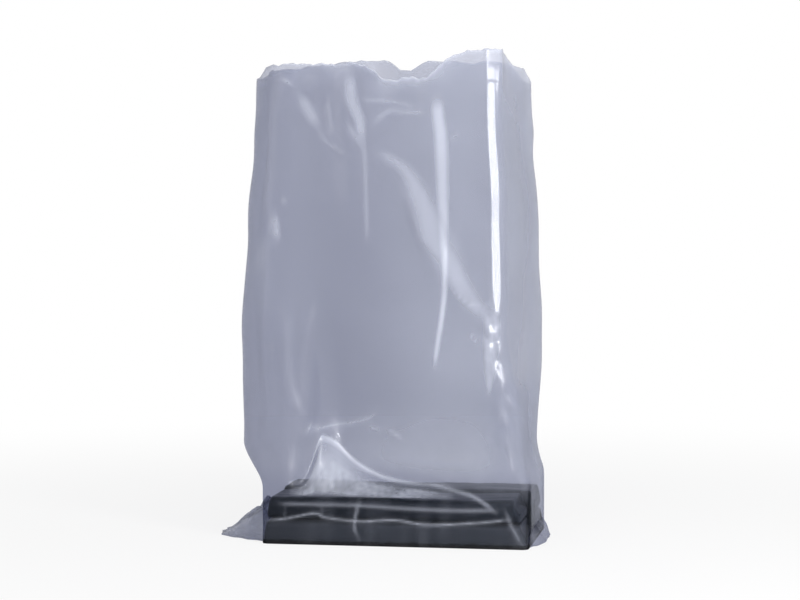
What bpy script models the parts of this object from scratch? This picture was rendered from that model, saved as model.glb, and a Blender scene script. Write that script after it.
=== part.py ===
"""Poly mailer bag of tinted see-through film, standing open on a folded dark bundle.

The bag is one piece of tube film, sealed across its foot. The bundle squares the foot off, so the
bottom seal ends in an ear on each side: the left one lies out on the table and the right one is
tucked in. The bundle is two folded stacks, one behind the other.

Metres, +Z up, the front towards -Y. The origin is the centre of the flat base.
Run it with: blender --background --python part.py
"""

import cmath
import math

import bmesh
import bpy

# The bag as it is sold, pressed flat
FLAT_WIDTH = 0.432
FLAT_LENGTH = 0.610
FILM_WALL = 0.0008  # a solid's wall: the film itself is about 0.1 mm

# The foot that the bundle squares off, and what the folds use up of the length
FOOT_DEPTH = 0.160
LENGTH_IN_FOLDS = 0.037
FOOT_CORNER = 0.007
FOOT_WIDTH = FLAT_WIDTH - FOOT_DEPTH
MOUTH_HEIGHT = FLAT_LENGTH - FOOT_DEPTH / 2 - LENGTH_IN_FOLDS

# The folded stacks of the bundle
STACK_HEIGHT = 0.047
FRONT_STACK_DEPTH = FOOT_DEPTH / 2
STACK_GAP = 0.0008  # between the two stacks
STACK_CLEARANCE = 0.0003  # between a stack and the film round it
FOLD_SLIT = 0.0012  # between the two leaves of a stack
SLIT_STOP = 0.014  # from the end of the slit to the back of the fold
FOLD_CORNER = 0.013  # the outer rounding of a stack's closed fold
LEAF_WAVE = 0.0010  # how far a leaf's nose wanders in along its length
FOLD_WAVE = 0.0006  # and its closed fold
TOP_SAG = 0.0012  # and its top, downwards
LEAF_WAVE_LENGTH = 0.115
TOP_WAVE_LENGTH = 0.190
FRONT_END_LEANS = (0.006, 0.014)  # how far its left and right end lean in at the top
REAR_END_LEANS = (0.003, 0.005)

# How the walls of the bag stand at each height: how far its corners reach past the foot's, and how
# round they are. The front right corner keeps the crease of the flat bag, and is drawn in higher up
BULGE_CLEARANCE = 0.009  # from the top of the stacks to where the walls start to bulge
BULGE_START = STACK_HEIGHT + BULGE_CLEARANCE
SHOULDER_HEIGHT = 0.21 * MOUTH_HEIGHT
BELLY_HEIGHT = 0.44 * MOUTH_HEIGHT
CHEST_HEIGHT = 0.67 * MOUTH_HEIGHT
NECK_HEIGHT = 0.87 * MOUTH_HEIGHT
LEFT_REACH = {"shoulder": 0.024, "belly": 0.027, "chest": 0.022, "neck": 0.015, "mouth": 0.011}
FRONT_REACH = {"shoulder": -0.004, "belly": -0.003, "chest": -0.004, "neck": -0.006, "mouth": -0.010}
CREASE_REACH = {"shoulder": -0.008, "belly": -0.028, "chest": -0.030, "neck": -0.032, "mouth": -0.036}
RIGHT_REACH = {"shoulder": -0.005, "belly": 0.009, "chest": 0.005, "neck": -0.001, "mouth": -0.007}
BACK_REACH = {"shoulder": 0.000, "belly": 0.001, "chest": -0.004, "neck": -0.008, "mouth": -0.012}
SOFT_RADIUS = {"shoulder": 0.024, "belly": 0.034, "chest": 0.034, "neck": 0.032, "mouth": 0.028}
CREASE_RADIUS = {"shoulder": 0.012, "belly": 0.018, "chest": 0.018, "neck": 0.017, "mouth": 0.016}
CORNERS = {
    "front left": (-1, -1, LEFT_REACH, FRONT_REACH, SOFT_RADIUS),
    "front right": (1, -1, CREASE_REACH, FRONT_REACH, CREASE_RADIUS),
    "back right": (1, 1, RIGHT_REACH, BACK_REACH, SOFT_RADIUS),
    "back left": (-1, 1, LEFT_REACH, BACK_REACH, SOFT_RADIUS),
}

# The shelf where the front wall is pushed in over the bundle: it climbs to the left
SHELF_DEPTH = 0.25 * FOOT_DEPTH
SHELF_LEFT_END = -0.43 * FOOT_WIDTH
SHELF_PEAK_X = -0.29 * FOOT_WIDTH
SHELF_RIGHT_END = 0.42 * FOOT_WIDTH
SHELF_PEAK_RISE = 0.056
SHELF_LOW_RISE = 0.008
SHELF_FALL = 0.060  # how fast the crest falls to the right of its peak
SHELF_BAND = 0.014  # the height of wall that the shelf takes up beside it
SHELF_RECOVERY = 0.165  # the wall is back in its own plane this far above the shelf

# The ears at the ends of the bottom seal: two layers pressed together, so they are solid
LEFT_EAR_LENGTH = 0.052
LEFT_EAR_RISE = 0.026
RIGHT_EAR_LENGTH = 0.010
RIGHT_EAR_RISE = 0.014
EAR_HALF_WIDTH = 0.425 * FOOT_DEPTH
EAR_TIP_HALF_WIDTH = 0.175 * FOOT_DEPTH
EAR_TIP_THICKNESS = 0.002
EAR_LIFT = 0.0003  # of its underside from the table
# How high an ear stands at each share of its half width, as a share of its rise
EAR_CROWN = ((0.95, 0.0), (0.6, 0.6), (0.2, 1.0), (-0.2, 0.95), (-0.6, 0.5), (-0.95, 0.0))

# The mouth's edge is higher on the right and sags in between. Each sag has its place as shares of
# the foot's width and depth, then its radius and its drop
MOUTH_TILT = 0.018
MOUTH_SAGS = (
    (-0.03, -0.38, 0.017, 0.025),
    (0.125, -0.38, 0.020, 0.024),
    (-0.22, -0.38, 0.030, 0.006),
    (-0.52, -0.35, 0.016, 0.011),
    (0.47, 0.33, 0.036, 0.032),
    (0.485, -0.03, 0.034, 0.020),
    (-0.07, 0.40, 0.030, 0.007),
    (0.22, 0.40, 0.024, 0.010),
    (-0.54, 0.13, 0.026, 0.010),
)

# Long soft folds pressed out of a wall, or into it. Each has its wall, its start and its end, as
# shares of the foot's width or depth and of the mouth's height, then its half width and its rise
WALL_FOLDS = (
    ("front", -0.165, 0.96, -0.105, 0.65, 0.014, 0.0050),
    ("front", 0.160, 0.91, 0.190, 0.41, 0.018, 0.0045),
    ("front", -0.015, 0.78, 0.300, 0.50, 0.022, 0.0040),
    ("front", -0.035, 0.91, 0.035, 0.61, 0.022, -0.0040),
    ("front", 0.310, 0.97, 0.310, 0.67, 0.016, -0.0040),
    ("front", -0.385, 0.47, -0.340, 0.25, 0.016, 0.0035),
    ("front", -0.330, 0.91, -0.310, 0.69, 0.016, -0.0030),
    ("right", -0.030, 0.95, 0.030, 0.24, 0.018, -0.0060),
    ("left", 0.000, 0.95, 0.030, 0.26, 0.020, -0.0070),
    ("back", -0.220, 0.95, -0.110, 0.37, 0.020, -0.0050),
    ("back", 0.180, 0.91, 0.075, 0.26, 0.020, 0.0045),
    ("back", 0.330, 0.65, -0.180, 0.22, 0.022, 0.0040),
)
FOLD_FADE = 0.030  # a fold dies out this far beyond its ends

# The gathered edge of the mouth
GATHER_DEPTH = 0.0035
GATHER_COUNTS = (9, 16)  # waves round the mouth, a broad run and a narrow one over it
GATHER_BAND = 0.060  # how far down from the mouth the gathers reach

# How finely the film and the stacks are divided: the foot's rows as shares of its height
WALL_ENDS = {
    "front": ("front left", "front right"), "right": ("front right", "back right"),
    "back": ("back right", "back left"), "left": ("back left", "front left"),
}
FRONT_COLUMNS = 26
BACK_COLUMNS = 20
SIDE_COLUMNS = 8
CORNER_COLUMNS = 4
FOOT_ROW_SHARES = (0.0, 0.18, 0.41, 0.68)
SHELF_ROWS = 3
WALL_ROWS = 19
STACK_STATIONS = 14
END_SHARES = (0.0, 0.12, 0.45)  # of the rounding, where a stack's end stations stand
NOSE_STEPS = 7
FOLD_STEPS = 4

INNER_FLOOR = FILM_WALL + STACK_CLEARANCE
STACK_TOP = INNER_FLOOR + STACK_HEIGHT
SHELF_START = STACK_TOP + STACK_CLEARANCE + FILM_WALL

FILM_COLOUR = (0.62, 0.63, 0.74, 0.5)
BUNDLE_COLOUR = (0.045, 0.055, 0.06, 1.0)


def clear_scene():
    for thing in list(bpy.data.objects):
        bpy.data.objects.remove(thing, do_unlink=True)


def new_collection(name):
    collection = bpy.data.collections.new(name)
    bpy.context.scene.collection.children.link(collection)
    return collection


def plain_material(name, colour, roughness):
    material = bpy.data.materials.new(name)
    material.use_nodes = True
    shader = material.node_tree.nodes["Principled BSDF"]
    shader.inputs["Base Color"].default_value = (*colour[:3], 1.0)
    shader.inputs["Alpha"].default_value = colour[3]
    shader.inputs["Roughness"].default_value = roughness
    shader.inputs["Metallic"].default_value = 0.0
    return material


def ease(value):
    """0 below 0, 1 above 1, with a level start and end between."""
    value = min(max(value, 0.0), 1.0)
    return value * value * (3.0 - 2.0 * value)


def bell(distance, width):
    """1 on the line and near 0 at two widths from it."""
    return math.exp(-((distance / width) ** 2))


def by_height(height, foot_value, values):
    """A size that goes smoothly from its value at the foot through those named at each level."""
    levels = (
        (BULGE_START, foot_value),
        (SHOULDER_HEIGHT, values["shoulder"]),
        (BELLY_HEIGHT, values["belly"]),
        (CHEST_HEIGHT, values["chest"]),
        (NECK_HEIGHT, values["neck"]),
        (MOUTH_HEIGHT, values["mouth"]),
    )
    result = levels[0][1]
    for (low, low_value), (high, high_value) in zip(levels, levels[1:]):
        share = (height - low) / max(high - low, FILM_WALL)
        if share > 0.0:
            result = low_value + (high_value - low_value) * ease(share)
    return result


def wall_columns():
    """Where each column of the film stands: its wall or corner, how far along that it is, and what
    share of all the columns stand before it."""
    columns = []
    for place, count in (
        ("front", FRONT_COLUMNS), ("front right", CORNER_COLUMNS),
        ("right", SIDE_COLUMNS), ("back right", CORNER_COLUMNS),
        ("back", BACK_COLUMNS), ("back left", CORNER_COLUMNS),
        ("left", SIDE_COLUMNS), ("front left", CORNER_COLUMNS),
    ):
        columns += [(place, step / count) for step in range(count)]
    return [(*column, index / len(columns)) for index, column in enumerate(columns)]


def corner_places(height):
    """Each corner of the plan at a height: its sharp point as a complex number, and its radius."""
    places = {}
    for name, (side, end, side_reach, end_reach, radii) in CORNERS.items():
        x = side * (FOOT_WIDTH / 2.0 + by_height(height, 0.0, side_reach))
        y = end * (FOOT_DEPTH / 2.0 + by_height(height, 0.0, end_reach))
        places[name] = (complex(x, y), by_height(height, FOOT_CORNER, radii))
    return places


def corner_arcs(places):
    """The arc that rounds each corner: its centre, its first radius and the angle it turns."""
    arcs = {}
    names = list(places)
    for i, name in enumerate(names):
        corner, radius = places[name]
        to_last = places[names[i - 1]][0] - corner
        to_next = places[names[(i + 1) % len(names)]][0] - corner
        half = abs(cmath.phase(to_next / to_last)) / 2.0
        middle = to_last / abs(to_last) + to_next / abs(to_next)
        centre = corner + middle / abs(middle) * radius / math.sin(half)
        first = 1j * to_last / abs(to_last) * radius
        arcs[name] = (centre, first, math.pi - 2.0 * half)
    return arcs


def plan_point(place, along, arcs):
    """A point of the rounded plan, and the direction that faces out of it there."""
    if place in arcs:
        centre, first, turn = arcs[place]
        spoke = first * cmath.exp(1j * turn * along)
        return centre + spoke, spoke / abs(spoke)
    before, after = WALL_ENDS[place]
    centre, first, turn = arcs[before]
    start = centre + first * cmath.exp(1j * turn)
    end = arcs[after][0] + arcs[after][1]
    out = -1j * (end - start) / abs(end - start)
    return start + (end - start) * along, out


def shelf_share(x):
    """How much of the shelf's depth the front wall takes at x: 0 at its ends, 1 between."""
    climb = ease((x - SHELF_LEFT_END) / (SHELF_PEAK_X - SHELF_LEFT_END) / 1.6)
    fall = ease((SHELF_RIGHT_END - x) / (SHELF_RIGHT_END - SHELF_PEAK_X) * 1.3)
    return climb * fall


def shelf_rise(x):
    """How far the shelf's crest stands above its front edge at x."""
    if x < SHELF_PEAK_X:
        peak = ease((x - SHELF_LEFT_END) / (SHELF_PEAK_X - SHELF_LEFT_END))
    else:
        peak = math.exp(-(x - SHELF_PEAK_X) / SHELF_FALL)
    return SHELF_LOW_RISE + (SHELF_PEAK_RISE - SHELF_LOW_RISE) * peak


def mouth_height(x, y):
    """The height of the mouth's edge over a point of the plan."""
    height = MOUTH_HEIGHT + MOUTH_TILT * x / FOOT_WIDTH
    for x_share, y_share, radius, drop in MOUTH_SAGS:
        away = math.hypot(x - x_share * FOOT_WIDTH, y - y_share * FOOT_DEPTH)
        height -= drop * bell(away, radius)
    return height


def fold_rise(wall, along, height):
    """How far the soft folds move a wall out at a point of it."""
    rise = 0.0
    wall_length = FOOT_WIDTH if wall in ("front", "back") else FOOT_DEPTH
    for name, start_along, start_up, end_along, end_up, width, depth in WALL_FOLDS:
        if name != wall:
            continue
        run = (end_along - start_along) * wall_length
        climb = (end_up - start_up) * MOUTH_HEIGHT
        length = math.hypot(run, climb)
        from_start = along - start_along * wall_length
        above_start = height - start_up * MOUTH_HEIGHT
        passed = (from_start * run + above_start * climb) / length
        beside = (from_start * climb - above_start * run) / length
        beyond = max(-passed, passed - length, 0.0)
        rise += depth * bell(beside, width) * bell(beyond, FOLD_FADE)
    return rise


def gather(turn):
    """How the gathers of the mouth wave from -1 to 1 on the way round it."""
    broad, narrow = GATHER_COUNTS
    slow = math.sin(2.0 * math.pi * broad * turn)
    quick = math.sin(2.0 * math.pi * narrow * turn + 1.0)
    return 0.6 * slow + 0.4 * quick


def film_point(column, row_height, row_kind, arcs):
    """One point of the bag's outer face. row_height is the row's height beside the shelf."""
    place, along, turn = column
    point, out = plan_point(place, along, arcs)
    x, y = point.real, point.imag

    edge = mouth_height(x, y)
    height = row_height
    shelf_top = SHELF_START + SHELF_BAND
    push = 0.0
    if place == "front" and row_height > SHELF_START:
        share = shelf_share(x)
        crest = SHELF_START + SHELF_BAND + (shelf_rise(x) - SHELF_BAND) * share
        if row_kind == "shelf":
            part = (row_height - SHELF_START) / SHELF_BAND
            height = SHELF_START + (crest - SHELF_START) * part
            push = SHELF_DEPTH * share * part
        else:
            part = (row_height - shelf_top) / (MOUTH_HEIGHT - shelf_top)
            height = crest + (MOUTH_HEIGHT - crest) * part
            push = SHELF_DEPTH * share * (1.0 - ease((height - crest) / SHELF_RECOVERY))
    if height > shelf_top:
        height += (edge - MOUTH_HEIGHT) * ease((height - shelf_top) / (MOUTH_HEIGHT - shelf_top))

    rise = 0.0
    if place in WALL_ENDS:
        along_wall = x if place in ("front", "back") else y
        settled = ease((height - shelf_top) / SHELF_BAND)
        rise = fold_rise(place, along_wall, height) * settled
    near_mouth = ease(1.0 - (edge - height) / GATHER_BAND)
    rise += GATHER_DEPTH * near_mouth * gather(turn)
    return x + out.real * rise, y + out.imag * rise + push, height


def film_rows():
    """The heights of the rows of the film, from the foot to the mouth."""
    rows = [(SHELF_START * share, "foot") for share in FOOT_ROW_SHARES]
    rows += [(SHELF_START + SHELF_BAND * step / SHELF_ROWS, "shelf") for step in range(SHELF_ROWS)]
    low = SHELF_START + SHELF_BAND
    rows += [(low + (MOUTH_HEIGHT - low) * step / WALL_ROWS, "wall") for step in range(WALL_ROWS + 1)]
    return rows


def loft(name, rings, cap_start, cap_end):
    """A mesh of quads between rings that have as many points each, with flat caps."""
    shape = bmesh.new()
    made = [[shape.verts.new(point) for point in ring] for ring in rings]
    for low, high in zip(made, made[1:]):
        for i in range(len(low)):
            j = (i + 1) % len(low)
            shape.faces.new((low[i], low[j], high[j], high[i]))
    if cap_start:
        shape.faces.new(list(reversed(made[0])))
    if cap_end:
        shape.faces.new(made[-1])
    bmesh.ops.triangulate(shape, faces=[f for f in shape.faces if len(f.verts) > 4])
    mesh = bpy.data.meshes.new(name)
    shape.to_mesh(mesh)
    shape.free()
    mesh.shade_smooth()
    return bpy.data.objects.new(name, mesh)


def build_ear(name, side, length, rise, collection):
    """An ear of the bottom seal, as a wedge that lies on the table and starts inside the wall.
    side is -1 for the left ear and 1 for the right one."""
    rings = []
    for share in (0.0, 0.4, 1.0):
        half_width = EAR_HALF_WIDTH + (EAR_TIP_HALF_WIDTH - EAR_HALF_WIDTH) * share ** 1.3
        crown = rise + (EAR_TIP_THICKNESS - rise) * ease(share) ** 0.7
        root = FOOT_WIDTH / 2.0 - FILM_WALL / 2.0
        x = side * (root + (length + FILM_WALL / 2.0) * share)
        ring = [(x, -half_width, EAR_LIFT), (x, half_width, EAR_LIFT)]
        for across, height in EAR_CROWN:
            ring.append((x, half_width * across, EAR_TIP_THICKNESS + crown * height))
        rings.append(ring)
    if side < 0:
        rings = [list(reversed(ring)) for ring in rings]
    ear = loft(name, rings, cap_start=True, cap_end=True)
    ear.hide_render = True
    ear.display_type = "WIRE"
    collection.objects.link(ear)
    return ear


def build_bag(collection, ears, material):
    """The film: one open shell from the sealed foot up to the mouth, given its wall inwards, with
    its two ears joined on."""
    columns = wall_columns()
    rings = []
    for row_height, row_kind in film_rows():
        arcs = corner_arcs(corner_places(row_height))
        rings.append([film_point(column, row_height, row_kind, arcs) for column in columns])
    bag = loft("film_bag", rings, cap_start=True, cap_end=False)
    wall = bag.modifiers.new("film wall", "SOLIDIFY")
    wall.thickness = FILM_WALL
    wall.offset = -1.0
    wall.use_even_offset = True
    wall.use_quality_normals = True
    for ear in ears:
        join = bag.modifiers.new(ear.name, "BOOLEAN")
        join.operation = "UNION"
        join.solver = "EXACT"
        join.object = ear
    bag.data.materials.append(material)
    collection.objects.link(bag)
    return bag


def folded_section(depth):
    """The outline of a stack folded once: two leaves with round noses at -Y, closed at +Y.

    The points go round from the slit's inner end, out along the lower leaf and back over the
    upper one, as (depth, height) from the middle of the stack's underside."""
    leaf = (STACK_HEIGHT - FOLD_SLIT) / 2.0
    front, back = -depth / 2.0, depth / 2.0
    slit_end = back - SLIT_STOP
    nose = leaf / 2.0
    points = [(slit_end, leaf)]
    for step in range(NOSE_STEPS + 1):
        angle = math.radians(90.0 + 180.0 * step / NOSE_STEPS)
        points.append((front + nose + nose * math.cos(angle), nose + nose * math.sin(angle)))
    for centre_height, start in ((FOLD_CORNER, -90.0), (STACK_HEIGHT - FOLD_CORNER, 0.0)):
        for step in range(FOLD_STEPS + 1):
            angle = math.radians(start + 90.0 * step / FOLD_STEPS)
            points.append((
                back - FOLD_CORNER + FOLD_CORNER * math.cos(angle),
                centre_height + FOLD_CORNER * math.sin(angle),
            ))
    for step in range(NOSE_STEPS + 1):
        angle = math.radians(90.0 + 180.0 * step / NOSE_STEPS)
        points.append((
            front + nose + nose * math.cos(angle),
            STACK_HEIGHT - nose + nose * math.sin(angle),
        ))
    points.append((slit_end, leaf + FOLD_SLIT))
    return points


def stack_stations(length):
    """Distances along a stack, closer together where its ends round off, from end to end."""
    inner = length - 2.0 * FOOT_CORNER
    ends = [FOOT_CORNER * share for share in END_SHARES]
    middle = [FOOT_CORNER + inner * step / STACK_STATIONS for step in range(STACK_STATIONS + 1)]
    return ends + middle + [length - distance for distance in reversed(ends)]


def wave(turns, phase):
    """A sine that runs from 0 to 1."""
    return 0.5 + 0.5 * math.sin(2.0 * math.pi * turns + phase)


def end_rounding(distance):
    """How far a stack's noses draw in at this distance from its nearer end."""
    short = max(FOOT_CORNER - distance, 0.0)
    return FOOT_CORNER - math.sqrt(FOOT_CORNER ** 2 - short ** 2)


def build_stack(name, centre_y, depth, facing, leans, phase, collection, material):
    """A folded stack that lies along X. facing is 1 with its noses to the front, -1 to the back."""
    section = folded_section(depth)
    length = FOOT_WIDTH - 2.0 * (FILM_WALL + STACK_CLEARANCE)
    left_lean, right_lean = leans
    rings = []
    for distance in stack_stations(length):
        drawn_in = end_rounding(min(distance, length - distance))
        ring = []
        for depth_at, height in section:
            share = height / STACK_HEIGHT
            shortened = length - (left_lean + right_lean) * share
            x = left_lean * share - length / 2.0 + distance * shortened / length
            leaf_phase = phase + (math.pi if height > STACK_HEIGHT / 2.0 else 0.0)
            wander = wave(x / LEAF_WAVE_LENGTH, leaf_phase)
            nearness = ease(0.5 - depth_at / depth)
            moved = depth_at + (drawn_in + LEAF_WAVE * wander) * nearness
            moved -= FOLD_WAVE * wander * (1.0 - nearness)
            sagged = height - TOP_SAG * share * wave(x / TOP_WAVE_LENGTH, phase)
            ring.append((x, centre_y + facing * moved, INNER_FLOOR + sagged))
        rings.append(ring)
    if facing < 0:
        rings = [list(reversed(ring)) for ring in rings]
    stack = loft(name, rings, cap_start=True, cap_end=True)
    stack.data.materials.append(material)
    collection.objects.link(stack)
    return stack


def main():
    clear_scene()
    collection = new_collection("poly_mailer_bag")
    joined = new_collection("joined_pieces")
    film = plain_material("film", FILM_COLOUR, 0.15)
    bundle = plain_material("bundle", BUNDLE_COLOUR, 0.4)

    ears = (
        build_ear("left_ear", -1.0, LEFT_EAR_LENGTH, LEFT_EAR_RISE, joined),
        build_ear("right_ear", 1.0, RIGHT_EAR_LENGTH, RIGHT_EAR_RISE, joined),
    )
    build_bag(collection, ears, film)

    inner_front = -FOOT_DEPTH / 2.0 + FILM_WALL + STACK_CLEARANCE
    inner_back = FOOT_DEPTH / 2.0 - FILM_WALL - STACK_CLEARANCE
    rear_start = inner_front + FRONT_STACK_DEPTH + STACK_GAP
    build_stack(
        "front_stack", inner_front + FRONT_STACK_DEPTH / 2.0, FRONT_STACK_DEPTH,
        1.0, FRONT_END_LEANS, 0.0, collection, bundle,
    )
    build_stack(
        "rear_stack", (rear_start + inner_back) / 2.0, inner_back - rear_start,
        -1.0, REAR_END_LEANS, 2.0, collection, bundle,
    )


main()
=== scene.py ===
"""Poly mailer bag: a bag of tinted see-through film, standing open on its folded dark bundle.

The shapes are worked out with numpy on grids: the film is a ring of columns carried up through its
rows, the ears and the folded stacks are sections carried along X. Metres, +Z up, front towards -Y.
"""

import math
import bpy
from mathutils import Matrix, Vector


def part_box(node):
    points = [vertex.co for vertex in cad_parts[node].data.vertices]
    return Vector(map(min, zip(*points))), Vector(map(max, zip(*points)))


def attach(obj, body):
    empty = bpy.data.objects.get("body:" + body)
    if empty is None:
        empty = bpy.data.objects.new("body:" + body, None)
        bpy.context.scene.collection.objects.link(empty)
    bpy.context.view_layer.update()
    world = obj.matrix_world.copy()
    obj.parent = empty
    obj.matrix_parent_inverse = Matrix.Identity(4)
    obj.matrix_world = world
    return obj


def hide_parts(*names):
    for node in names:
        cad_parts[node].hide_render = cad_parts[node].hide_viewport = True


bl_info = {
    "name": "Poly Mailer Bag",
    "version": (1, 0, 0),
    "blender": (4, 5, 0),
    "location": "3D View > Sidebar > Mailer Bag",
    "description": "Builds a see-through mailer bag on its folded bundle, with its studio",
    "category": "Add Mesh",
}

import bpy
import numpy as np
from mathutils import Vector

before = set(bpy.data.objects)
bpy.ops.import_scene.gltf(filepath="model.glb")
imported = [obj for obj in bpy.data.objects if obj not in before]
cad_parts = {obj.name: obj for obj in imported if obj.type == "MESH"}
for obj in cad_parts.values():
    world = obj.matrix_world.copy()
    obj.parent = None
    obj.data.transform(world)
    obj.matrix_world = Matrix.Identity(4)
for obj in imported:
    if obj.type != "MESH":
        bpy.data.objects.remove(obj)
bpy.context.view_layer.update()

MM = 0.001  # for the tables in millimetres

# The foot and the mouth of the bag, as its solids have them
FOOT_WIDTH = 0.272
FOOT_DEPTH = 0.16
FOOT_CORNER = 0.007
MOUTH_HEIGHT = 0.493
INNER_FLOOR = 0.0011
SHELF_START = 0.0492

# The folded stacks: the slit between two leaves and where it stops, the rounding of the fold
STACK_HEIGHT = 0.047
FOLD_SLIT = 0.0012
SLIT_STOP = 0.014
FOLD_CORNER = 0.013
LEAF_BLUNTNESS = 2.5  # 2 is a round nose, more is squarer
LOWER_BLUNTNESS = 8.0
LEAF_WAVE = 0.001
LEAF_WAVE_LENGTH = 0.115
TOP_SAG = 0.0012
TOP_WAVE_LENGTH = 0.19
END_INSET = 0.0086  # how far a stack's end face goes in, over its stepped layers
END_ROUNDING = 0.0022
END_GAP = 0.0004
LAYER_STEP = 0.00045
BODY_START = 0.0035  # from the end to the first of the whole sections
BODY_COUNT = 150

# The levels of the plan, in millimetres: the first is where the foot ends. At each of the others,
# how far the plan's corners reach past the foot's, and the radius of their rounding
LEVELS = (56, 103.5, 216.9, 330.3, 428.9, 493)
LEFT_REACH = (24, 27, 22, 15, 11)
FRONT_REACH = (-4, -3, -4, -6, -10)
CREASE_REACH = (-8, -25.5, -26.5, -31.5, -33)
RIGHT_REACH = (-5, 9, 5, -1, -7)
BACK_REACH = (0, 1, -4, -8, -12)
SOFT_RADIUS = (24, 34, 34, 32, 28)
CREASE_RADIUS = (22, 18, 18, 17, 16)
CORNERS = (
    (-1, -1, LEFT_REACH, FRONT_REACH, SOFT_RADIUS),
    (1, -1, CREASE_REACH, FRONT_REACH, CREASE_RADIUS),
    (1, 1, RIGHT_REACH, BACK_REACH, SOFT_RADIUS),
    (-1, 1, LEFT_REACH, BACK_REACH, SOFT_RADIUS),
)

# The shelf where the front wall is pushed in over the bundle
SHELF_DEPTH = 0.04
SHELF_LEFT_END = -0.117
SHELF_PEAK_X = -0.0789
SHELF_RIGHT_END = 0.1142
SHELF_PEAK_RISE = 0.078
SHELF_LOW_RISE = 0.008
SHELF_FALL = 0.03
SHELF_CLIMB = 0.021
SHELF_BAND = 0.014
SHELF_RECOVERY = 0.165
SHELF_TOP = SHELF_START + SHELF_BAND

# The mouth's edge: its rise to the right, and the place, radius and drop of each sag, in millimetres
MOUTH_TILT = 0.066
MOUTH_SAGS = (
    (-6, -60.8, 21, 27),
    (30, -60.8, 22, 26),
    (-59.8, -60.8, 30, 4),
    (-75, 70, 75, -7),
    (127.8, 52.8, 29, 33),
    (131.9, -4.8, 34, 20),
    (-10, 66, 14, 11),
    (59.8, 64, 24, 4),
)
LEFT_ROUNDING = (-0.134, 0.013, 0.011)  # where the left end starts to drop, over what, how far
GATHER_DEPTH = 0.0035
GATHER_BAND = 0.06
FOLD_FADE = 0.03

# Long soft folds of the walls, in millimetres: start and end along the wall and in height, half
# width, rise
WALL_FOLDS = {
    "front": (
        (-53, 473, -37, 320, 16, 4),
        (-4.1, 385, 81.6, 247, 26, 2.6),
        (4, 449, 12, 301, 22, -2.4),
        (82, 478, 82, 330, 18, -2),
        (-104.7, 232, -92.5, 123, 18, 2.6),
        (-89.8, 449, -84.3, 340, 16, -1),
    ),
    "right": ((-4.8, 468, 4.8, 118, 18, -2.2),),
    "back": (
        (-59.8, 468, -29.9, 182, 20, -5),
        (49, 449, 20.4, 128, 20, 4.5),
        (89.8, 320, -49, 108, 22, 4),
    ),
    "left": ((0, 468, 4.8, 128, 20, -2.5),),
}

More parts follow.
